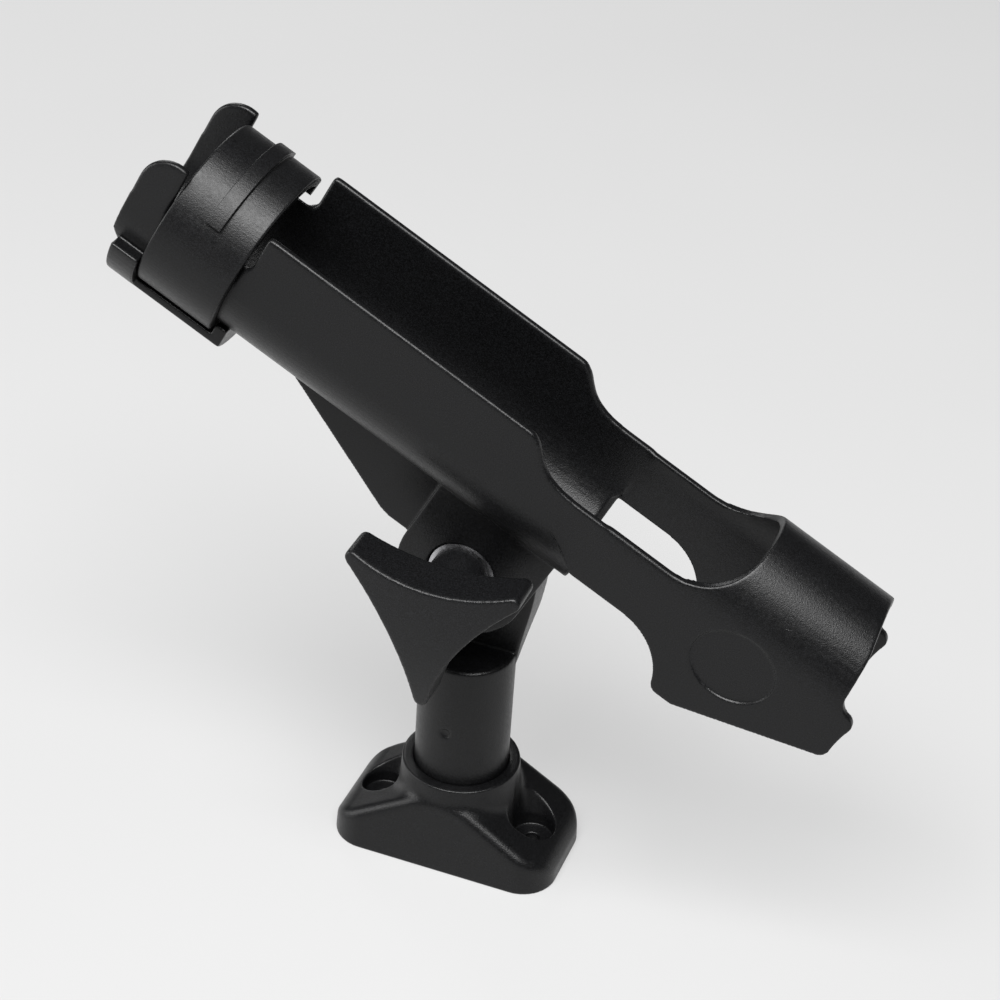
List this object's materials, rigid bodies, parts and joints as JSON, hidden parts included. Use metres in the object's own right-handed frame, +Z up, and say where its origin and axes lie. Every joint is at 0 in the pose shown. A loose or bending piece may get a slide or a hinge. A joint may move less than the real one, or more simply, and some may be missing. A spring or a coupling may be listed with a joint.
{
  "type": "adjustable rod holder",
  "caption": "Deck-mounted adjustable fishing rod holder: open-top cradle with a turning locking collar, on a swivelling post clamped by a wing knob.",
  "frame": {"origin": "centre of the deck base's underside, on the post's swivel axis", "axes": "+Z up along the post, +X towards the cradle's low rear end, -Y towards the wing knob"},
  "size_m": [0.2653, 0.0752, 0.2536],
  "materials": {
    "black_nylon": "satin, fine moulded grain",
    "collar_nylon": "satin, smoother than the cradle",
    "knob_nylon": "satin, fine moulded grain",
    "stainless": "turned and lightly brushed",
    "brass": "knurled, bright",
    "rubber": "matt"
  },
  "bodies": {
    "base": {"deck_base": "black_nylon"},
    "post": {"post": "black_nylon", "friction_ring": "rubber", "retaining_washer": "stainless", "retaining_screw": "stainless", "pivot_bolt": "stainless"},
    "cradle": {"cradle": "black_nylon"},
    "collar": {"locking_collar": "collar_nylon"},
    "knob_seat": {"thrust_washer": "stainless"},
    "knob": {"wing_knob": "knob_nylon", "knob_insert": "brass"}
  },
  "joints": [
    {"name": "post_swivel", "type": "hinge", "parent": "base", "child": "post", "pos_m": [0, 0, 0.022], "axis": [0, 0, 1], "continuous": true},
    {"name": "cradle_tilt", "type": "hinge", "parent": "post", "child": "cradle", "pos_m": [0, 0, 0.12], "axis": [0, 1, 0], "range_deg": [-57, 48]},
    {"name": "collar_turn", "type": "hinge", "parent": "cradle", "child": "collar", "pos_m": [-0.08959, 0, 0.22057], "axis": [0.8894, 0, -0.4571], "range_deg": [-24, 80]},
    {"name": "knob_slide", "type": "slide", "parent": "post", "child": "knob_seat", "axis": [0, -1, 0], "range_m": [0, 0.003]},
    {"name": "knob_turn", "type": "hinge", "parent": "knob_seat", "child": "knob", "pos_m": [0, -0.035, 0.12], "axis": [0, -1, 0], "range_deg": [0, 721]}
  ],
  "couplings": [
    {"joint": "knob_turn", "follows": "knob_slide", "rad_per_m": 4188.8}
  ]
}
